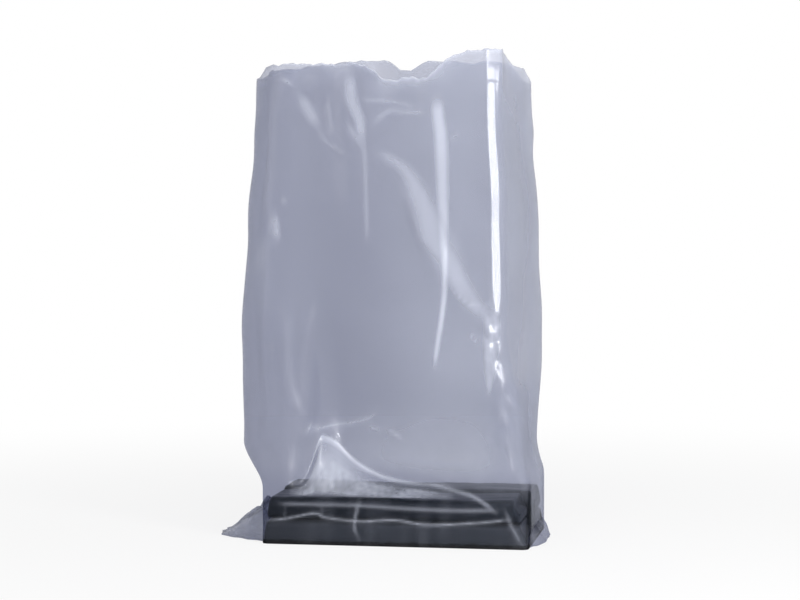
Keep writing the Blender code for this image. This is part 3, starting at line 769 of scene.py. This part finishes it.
def ear_surface(side, length, rise, half_width, tip_half_width, seed):
    """A crumpled wedge of two layers: sections that narrow towards the tip. The lower layer lies
    on the table, and the upper one is a crown with crumples that sinks to the seal at the tip."""
    along, round_ = np.meshgrid(
        np.linspace(0.0, 1.0, EAR_COUNTS[0]),
        np.linspace(0.0, 1.0, EAR_COUNTS[1], endpoint=False), indexing="ij",
    )
    upper = round_ < 0.5
    across = np.where(upper, 1.0 - 4.0 * round_, 4.0 * round_ - 3.0)
    ragged = 1.0 + 0.06 * drift(along * 0.06, across * 0.0, 0.03, seed)
    width = (half_width + (tip_half_width - half_width) * along ** 1.3) * ragged
    reach = length * along * (1.0 + 0.05 * drift(across * 0.04, along * 0.0, 0.03, seed + 1))
    crown = np.sqrt(np.clip(1.0 - across ** 4, 0.0, 1.0))
    crown = (rise * (1.0 - smooth(along)) ** 0.8 + 0.0012) * crown
    folds = crumple(reach, across * width, 0.022, seed + 2) * smooth(along * 6.0)
    ridges = 0.0026 * np.abs(folds) * (1.0 - across ** 6) * (1.0 - 0.8 * along ** 3)
    top = crown * (1.0 + 0.3 * folds) + ridges
    height = np.where(upper, EAR_GAP + top, EAR_GAP)
    x = side * (FOOT_WIDTH / 2.0 - EAR_GAP + reach)
    points = np.stack((x, width * across, height), axis=-1)
    return points if side < 0 else points[:, ::-1]


# The folded stacks


def blunt_nose(angle, bluntness):
    """Half a circle with its sides pushed out: cosine and sine to the power 2 / bluntness."""
    out = -np.abs(np.cos(angle)) ** (2.0 / bluntness)
    up = np.sign(np.sin(angle)) * np.abs(np.sin(angle)) ** (2.0 / bluntness)
    return out, up


def folded_section(depth, bluntness):
    """The outline of a stack folded once, as (depth, height). Its two leaves have blunt noses at
    the open end, and a rounded fold joins them."""
    leaf = (STACK_HEIGHT - FOLD_SLIT) / 2.0
    front, back = -depth / 2.0, depth / 2.0
    nose = leaf / 2.0
    angle = np.linspace(0.5 * math.pi, 1.5 * math.pi, 25)
    out, up = blunt_nose(angle, bluntness)
    under_out, under_up = blunt_nose(angle, np.where(angle > math.pi, LOWER_BLUNTNESS, bluntness))
    bend = np.linspace(-0.5 * math.pi, 0.0, 9)
    run = np.linspace(0.03, 0.97, 16)
    flat = front + nose + (back - FOLD_CORNER - front - nose) * run
    slit_run = back - SLIT_STOP + (front + nose - back + SLIT_STOP) * np.linspace(0.0, 0.97, 14)
    fold_depth = back - FOLD_CORNER + FOLD_CORNER * np.cos(bend)
    fold_height = FOLD_CORNER + FOLD_CORNER * np.sin(bend)
    depths = np.concatenate((
        slit_run, front + nose + nose * under_out, flat, fold_depth,
        fold_depth[::-1], flat[::-1], front + nose + nose * out[::-1], slit_run[::-1],
    ))
    heights = np.concatenate((
        0.0 * slit_run + leaf, nose + nose * under_up, 0.0 * flat, fold_height,
        STACK_HEIGHT - fold_height[::-1], 0.0 * flat + STACK_HEIGHT,
        STACK_HEIGHT - nose - nose * up[::-1], 0.0 * slit_run + leaf + FOLD_SLIT,
    ))
    return depths, heights


def section_outwards(depths, heights):
    """The direction out of a closed outline at each of its points, square to its neighbours."""
    run = np.roll(depths, -1) - np.roll(depths, 1)
    climb = np.roll(heights, -1) - np.roll(heights, 1)
    length = np.hypot(run, climb)
    return climb / length, -run / length


def stack_surface(centre_y, depth, facing, leans, layer, seed):
    """A folded stack along X: its section is carried from end to end, drawn in by insets at both
    ends, where the layers stand as fine steps. Crumples and long pleats stand on its faces."""
    depths, heights = folded_section(depth, LEAF_BLUNTNESS)
    out_depth, out_height = section_outwards(depths, heights)
    length = FOOT_WIDTH - 2.0 * INNER_FLOOR
    turned = np.sin(np.linspace(0.1, 0.5 * math.pi, 6))
    insets = np.concatenate((np.linspace(END_INSET, END_ROUNDING, 14), END_ROUNDING * (1.0 - turned)))
    steps = LAYER_STEP * np.sin(math.tau * insets / layer) * (insets > 0.002)
    round_share = np.sqrt(np.clip(1.0 - (1.0 - insets / END_ROUNDING) ** 2, 0.0, 1.0))
    rounding = END_GAP + END_ROUNDING * (1.0 - round_share)
    end_at = np.where(insets > END_ROUNDING, END_GAP + steps, rounding)
    body = np.linspace(BODY_START, length - BODY_START, BODY_COUNT)
    distance = np.concatenate((end_at, body, length - end_at[::-1]))[:, None]
    inset = np.concatenate((insets, np.zeros(BODY_COUNT), insets[::-1]))[:, None]

    share = heights / STACK_HEIGHT
    left_lean, right_lean = leans
    shortened = length - (left_lean + right_lean) * share
    x = left_lean * share - length / 2.0 + distance * shortened / length
    upper = heights > STACK_HEIGHT / 2.0
    wander = 0.5 + 0.5 * np.sin(math.tau * x / LEAF_WAVE_LENGTH + seed + math.pi * upper)
    near_nose = smooth(0.5 - depths / depth)
    way = np.cumsum(np.hypot(np.diff(depths, prepend=depths[0]), np.diff(heights, prepend=heights[0])))
    settled = smooth((0.003 - inset) / 0.003)
    face = 0.00055 * crumple(0.45 * x, way + 0.0 * x, 0.02, seed + 3)
    face += 0.0003 * crumple(x, 0.25 * way + 0.0 * x, 0.011, seed + 4)
    moved_depth = depths + (LEAF_WAVE * wander + 0.0008) * near_nose
    moved_depth = moved_depth + out_depth * (face * settled - inset)
    moved_height = heights + out_height * (face * settled - inset)
    sag = 0.5 + 0.5 * np.sin(math.tau * x / TOP_WAVE_LENGTH + seed)
    moved_height = moved_height - TOP_SAG * share * sag
    moved_height = np.maximum(moved_height, 0.0002)
    points = np.stack((x, centre_y + facing * moved_depth, INNER_FLOOR + moved_height), axis=-1)
    return points if facing > 0 else points[:, ::-1]


# Materials


def add_node(tree, kind, inputs=None, **settings):
    """A shader node of a kind, with its settings, and its inputs linked or set to a value."""
    made = tree.nodes.new("ShaderNode" + kind)
    for key, value in settings.items():
        setattr(made, key, value)
    for socket, value in (inputs or {}).items():
        if isinstance(value, bpy.types.NodeSocket):
            tree.links.new(value, made.inputs[socket])
        else:
            made.inputs[socket].default_value = value
    return made


def maths(tree, operation, first, second=0.0):
    """One step of arithmetic, as a Math node."""
    return add_node(tree, "Math", {0: first, 1: second}, operation=operation).outputs[0]


def mix(tree, share, first, second):
    """The first shader with a share of the second mixed in."""
    shaders = {0: share, 1: first.outputs[0], 2: second.outputs[0]}
    return add_node(tree, "MixShader", shaders)


def noise(tree, vector, scale, detail, roughness=0.5):
    """A Noise Texture."""
    inputs = {"Vector": vector, "Scale": scale, "Detail": detail, "Roughness": roughness}
    return add_node(tree, "TexNoise", inputs)


def blend(tree, value, low, low_colour, high, high_colour):
    """A Color Ramp's output: one colour up to the low value, another from the high value on."""
    ramp = add_node(tree, "ValToRGB", {"Fac": value})
    for stop, place, colour in zip(ramp.color_ramp.elements, (low, high), (low_colour, high_colour)):
        stop.position = place
        stop.color = (*colour, 1.0)
    return ramp.outputs["Color"]


def crinkle_group():
    """Crinkled film: fine dents, long soft creases and a slow mottle, all from the coordinates."""
    made = bpy.data.node_groups.get("film crinkle")
    if made:
        return made
    made = bpy.data.node_groups.new("film crinkle", "ShaderNodeTree")
    made.interface.new_socket("Vector", in_out="INPUT", socket_type="NodeSocketVector")
    for name, default in (("Crease Scale", 24.0), ("Dent Scale", 160.0), ("Dents", 0.3)):
        socket = made.interface.new_socket(name, in_out="INPUT", socket_type="NodeSocketFloat")
        socket.default_value = default
    made.interface.new_socket("Height", in_out="OUTPUT", socket_type="NodeSocketFloat")
    made.interface.new_socket("Mottle", in_out="OUTPUT", socket_type="NodeSocketFloat")
    given = made.nodes.new("NodeGroupInput")
    bend = noise(made, given.outputs["Vector"], 9.0, 2.0)
    bent = add_node(
        made, "VectorMath",
        {0: bend.outputs["Color"], 1: (0.06, 0.06, 0.06), 2: given.outputs["Vector"]},
        operation="MULTIPLY_ADD",
    )
    folds = noise(made, bent.outputs[0], given.outputs["Crease Scale"], 1.0, 0.4)
    ridged = maths(made, "ABSOLUTE", maths(made, "SUBTRACT", folds.outputs["Fac"], 0.5))
    soft = maths(made, "POWER", ridged, 1.4)
    dents = noise(made, bent.outputs[0], given.outputs["Dent Scale"], 3.0, 0.55)
    fine = maths(made, "MULTIPLY", dents.outputs["Fac"], given.outputs["Dents"])
    height = maths(made, "ADD", soft, fine)
    mottle = noise(made, bent.outputs[0], 11.0, 4.0)
    given_out = made.nodes.new("NodeGroupOutput")
    made.links.new(height, given_out.inputs["Height"])
    made.links.new(mottle.outputs["Fac"], given_out.inputs["Mottle"])
    return made


def add_crinkle(tree, place, crease_scale, dent_scale, dents, strength, distance):
    """The crinkle group at these coordinates: its mottle, and the normal that its bump gives."""
    crinkle = add_node(
        tree, "Group",
        {"Vector": place, "Crease Scale": crease_scale, "Dent Scale": dent_scale, "Dents": dents},
        node_tree=crinkle_group(),
    )
    bump = add_node(
        tree, "Bump",
        {"Height": crinkle.outputs["Height"], "Strength": strength, "Distance": distance},
    )
    return crinkle.outputs["Mottle"], bump.outputs[0]


def start_material(name):
    """A material with a clean tree, and its output node."""
    material = bpy.data.materials.new(name)
    material.use_nodes = True
    tree = material.node_tree
    tree.nodes.clear()
    return material, tree, add_node(tree, "OutputMaterial")


def film_material(settings):
    """See-through film: tinted clear film with a milky haze where it is creased, into which painted
    highlights and painted light are mixed, and a painted shadow that darkens it along its foot, under a
    gloss that grows towards its edges."""
    material, tree, output = start_material("bag film")
    place = add_node(tree, "TexCoord").outputs["Object"]
    mottle, bump = add_crinkle(tree, place, 16.0, 60.0, 0.05, 0.11, 0.002)
    milky_and_painted_light, dull, painted_foot_shadow = (
        add_node(tree, "Attribute", attribute_name=name).outputs["Fac"]
        for name in ("milky_and_painted_light", "dull", "painted_foot_shadow")
    )
    # the haze's share of the film, which also carries the painted highlights and painted light
    cover = maths(tree, "MULTIPLY", milky_and_painted_light, settings.haze)
    pale = np.array(settings.haze_colour)
    mottled = blend(tree, mottle, 0.3, pale * 0.9, 0.7, pale * 1.08)
    haze = add_node(
        tree, "BsdfPrincipled",
        {"Base Color": mottled, "Roughness": 0.35, "Normal": bump},
    )
    tint = np.array(settings.tint)
    # the painted shadow along the foot darkens what the film lets through to a quarter
    lets_through = blend(tree, painted_foot_shadow, 0.0, tint, 1.0, tint * 0.25)
    clear = add_node(tree, "BsdfTransparent", {"Color": lets_through})
    glow = add_node(tree, "BsdfTranslucent", {"Color": (*pale, 1.0)})
    body = mix(tree, cover, clear, mix(tree, 0.2, haze, glow))
    tight = add_node(tree, "BsdfGlossy", {"Roughness": 0.13, "Normal": bump})
    wide = add_node(tree, "BsdfGlossy", {"Roughness": 0.34, "Normal": bump})
    gloss = mix(tree, 0.55, tight, wide)
    facing = add_node(tree, "LayerWeight", {"Blend": 0.5}).outputs["Facing"]
    edge = maths(tree, "MULTIPLY", maths(tree, "POWER", facing, 5.0), 0.25)
    shine = maths(tree, "SUBTRACT", 1.0, maths(tree, "MULTIPLY", dull, 0.96))
    share = maths(tree, "MULTIPLY", maths(tree, "ADD", edge, settings.gloss), shine)
    tree.links.new(mix(tree, share, body, gloss).outputs[0], output.inputs["Surface"])
    return material


def bundle_material(settings):
    """Dark folded film: dull grey green, paler and darker in soft patches, crinkled and a little
    glossy.
    """
    material, tree, output = start_material("bundle film")
    place = add_node(tree, "TexCoord").outputs["Object"]
    place = add_node(tree, "Mapping", {"Vector": place, "Scale": (0.35, 1.0, 1.0)}).outputs[0]
    mottle, bump = add_crinkle(tree, place, 22.0, 90.0, 0.1, 0.35, 0.0012)
    base = np.array(settings.colour)
    colour = blend(tree, mottle, 0.32, base * 0.6, 0.68, base * 1.2)
    rough = add_node(
        tree, "MapRange",
        {"Value": mottle, "From Min": 0.3, "From Max": 0.7,
         "To Min": 0.26, "To Max": 0.42},
    )
    skin = add_node(
        tree, "BsdfPrincipled",
        {"Base Color": colour, "Roughness": rough.outputs[0],
         "Specular IOR Level": 0.35, "Normal": bump},
    )
    tree.links.new(skin.outputs[0], output.inputs["Surface"])
    return material


def backdrop_switch(tree):
    """1 for what the camera sees straight, in gloss or through glass, and 0 for other light."""
    path = add_node(tree, "LightPath")
    seen = maths(tree, "MAXIMUM", path.outputs["Is Camera Ray"], path.outputs["Is Glossy Ray"])
    return maths(tree, "MAXIMUM", seen, path.outputs["Is Transmission Ray"])


def floor_material():
    """A pale floor that is white to the camera and keeps the object's shadow."""
    material, tree, output = start_material("studio floor")
    plain = add_node(tree, "BsdfDiffuse", {"Color": (0.8, 0.8, 0.81, 1.0)})
    white = add_node(tree, "Emission", {"Color": WHITE, "Strength": 1.0})
    place = add_node(tree, "TexCoord").outputs["Object"]
    away = add_node(tree, "VectorMath", {0: place}, operation="LENGTH")
    white_out = add_node(
        tree, "MapRange",
        {"Value": away.outputs["Value"], "From Min": 0.25, "From Max": 1.3,
         "To Min": 0.82, "To Max": 1.0},
        interpolation_type="SMOOTHSTEP",
    )
    share = maths(tree, "MULTIPLY", backdrop_switch(tree), white_out.outputs[0])
    tree.links.new(mix(tree, share, plain, white).outputs[0], output.inputs["Surface"])
    return material


# The operators: one for each piece or group, and one for the studio


class MAILER_OT_film_bag(bpy.types.Operator):
    """Build the see-through film bag"""

    bl_idname = "mailer.film_bag"
    bl_label = "Film Bag"

    def execute(self, context):
        settings = context.scene.mailer_film
        piece = add_piece("bag_film", film_mesh(), film_material(settings), ("film_bag",))
        add_film_wall(piece, settings.thickness)
        return {"FINISHED"}


class MAILER_OT_ears(bpy.types.Operator):
    """Build the two ears of the bag's bottom seal"""

    bl_idname = "mailer.ears"
    bl_label = "Seal Ears"

    def execute(self, context):
        material = bpy.data.materials["bag film"]
        for name, side, length, rise, milky_and_painted_light, dull, seed in EARS:
            points = ear_surface(side, length, rise, *EAR_HALF_WIDTHS, seed)
            mesh = grid_mesh(name, points, cap_start=True, cap_end=True)
            mottle = drift(points[..., 0], points[..., 1], 0.03, seed + 5)
            add_attribute(mesh, "milky_and_painted_light", milky_and_painted_light + 0.4 * mottle)
            add_attribute(mesh, "dull", np.full(points.shape[:2], dull))
            add_attribute(mesh, "painted_foot_shadow", np.zeros(points.shape[:2]))
            piece = add_piece(name, mesh, material, ("film_bag",))
            add_film_wall(piece, context.scene.mailer_film.thickness)
        return {"FINISHED"}


class MAILER_OT_bundle(bpy.types.Operator):
    """Build the two folded stacks of the dark bundle"""

    bl_idname = "mailer.bundle"
    bl_label = "Folded Bundle"

    def execute(self, context):
        settings = context.scene.mailer_bundle
        material = bundle_material(settings)
        for name, node, facing, leans, seed in STACKS:
            low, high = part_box(node)
            centre, depth = (low[1] + high[1]) / 2.0, high[1] - low[1] - STACK_CLEARANCE
            points = stack_surface(centre, depth, facing, leans, settings.layer, seed)
            mesh = grid_mesh(name, points, cap_start=True, cap_end=True)
            add_piece(name, mesh, material, (node,))
        return {"FINISHED"}


class MAILER_OT_studio(bpy.types.Operator):
    """Set up the pale floor, the lights, the world and the camera"""

    bl_idname = "mailer.studio"
    bl_label = "Studio"

    def execute(self, context):
        settings = context.scene.mailer_studio
        floor = bpy.data.meshes.new("floor")
        ends = ((-1, -1), (1, -1), (1, 1), (-1, 1))
        corners = [(FLOOR_HALF_SIZE * x, FLOOR_HALF_SIZE * y, 0.0) for x, y in ends]
        floor.from_pydata(corners, [], [(0, 1, 2, 3)])
        floor.materials.append(floor_material())
        ground = add_object("floor", floor)

        world = bpy.data.worlds.new("studio room")
        context.scene.world = world
        world.use_nodes = True
        tree = world.node_tree
        tree.nodes.clear()
        room = add_node(tree, "Background", {"Color": WHITE, "Strength": settings.room})
        white = add_node(tree, "Background", {"Color": WHITE, "Strength": 1.0})
        output = add_node(tree, "OutputWorld")
        mixed = mix(tree, backdrop_switch(tree), room, white)
        tree.links.new(mixed.outputs[0], output.inputs["Surface"])

        for softbox in ((*STRIP_LIGHT, settings.strip_radiance), *SOFTBOXES):
            add_softbox(*softbox)

        turn = settings.camera_turn
        distance = settings.camera_distance
        place = Vector((math.sin(turn) * distance, -math.cos(turn) * distance, settings.camera_height))
        lens = bpy.data.cameras.new("camera")
        lens.sensor_fit = "HORIZONTAL"
        lens.sensor_width = SENSOR_WIDTH
        lens.lens = SENSOR_WIDTH * FOCAL_LENGTH / PICTURE_WIDTH
        lens.shift_x = SHIFT_RIGHT / PICTURE_WIDTH
        lens.shift_y = SHIFT_UP / PICTURE_WIDTH
        camera = add_object("camera", lens)
        camera.location = place
        camera.rotation_euler = (Vector(LOOK_AT) - place).to_track_quat("-Z", "Y").to_euler()
        context.scene.camera = camera
        context.scene.view_settings.view_transform = "Standard"
        context.scene.cycles.transparent_max_bounces = 32
        return {"FINISHED"}


def add_softbox(name, turn, distance, height, width, tall, radiance):
    """An area light that looks at the bag. turn is its angle round from the front to the right,
    in degrees, and radiance how bright its face is: its power is radiance x area x pi."""
    angle = math.radians(turn)
    place = Vector((math.sin(angle) * distance, -math.cos(angle) * distance, height))
    lamp = bpy.data.lights.new(name, "AREA")
    lamp.shape = "RECTANGLE"
    lamp.size = width
    lamp.size_y = tall
    lamp.energy = radiance * width * tall * math.pi
    light = add_object(name, lamp)
    light.location = place
    target = Vector((0.0, 0.0, min(height, 0.3) if height > 1.2 else height))
    light.rotation_euler = (target - place).to_track_quat("-Z", "Y").to_euler()


class MAILER_PT_panel(bpy.types.Panel):
    """Lists the bag's pieces and their settings"""

    bl_idname = "MAILER_PT_panel"
    bl_label = "Poly Mailer Bag"
    bl_space_type = "VIEW_3D"
    bl_region_type = "UI"
    bl_category = "Mailer Bag"

    def draw(self, context):
        for operator, group in PANEL_ROWS:
            box = self.layout.box()
            box.operator(operator)
            settings = getattr(context.scene, group, None)
            if settings:
                for name in settings.bl_rna.properties.keys():
                    if name not in ("name", "rna_type"):
                        box.prop(settings, name)


PANEL_ROWS = (
    ("mailer.studio", "mailer_studio"),
    ("mailer.film_bag", "mailer_film"),
    ("mailer.ears", ""),
    ("mailer.bundle", "mailer_bundle"),
)
SETTINGS = (
    ("mailer_film", FilmSettings), ("mailer_bundle", BundleSettings), ("mailer_studio", StudioSettings),
)
CLASSES = (
    FilmSettings, BundleSettings, StudioSettings,
    MAILER_OT_film_bag, MAILER_OT_ears, MAILER_OT_bundle, MAILER_OT_studio, MAILER_PT_panel,
)


def register():
    for made in CLASSES:
        bpy.utils.register_class(made)
    for name, group in SETTINGS:
        setattr(bpy.types.Scene, name, bpy.props.PointerProperty(type=group))


def unregister():
    for name, _ in SETTINGS:
        delattr(bpy.types.Scene, name)
    for made in reversed(CLASSES):
        bpy.utils.unregister_class(made)


def main():
    register()
    bpy.ops.mailer.studio()
    bpy.ops.mailer.film_bag()
    bpy.ops.mailer.ears()
    bpy.ops.mailer.bundle()


if __name__ == "__main__":
    main()
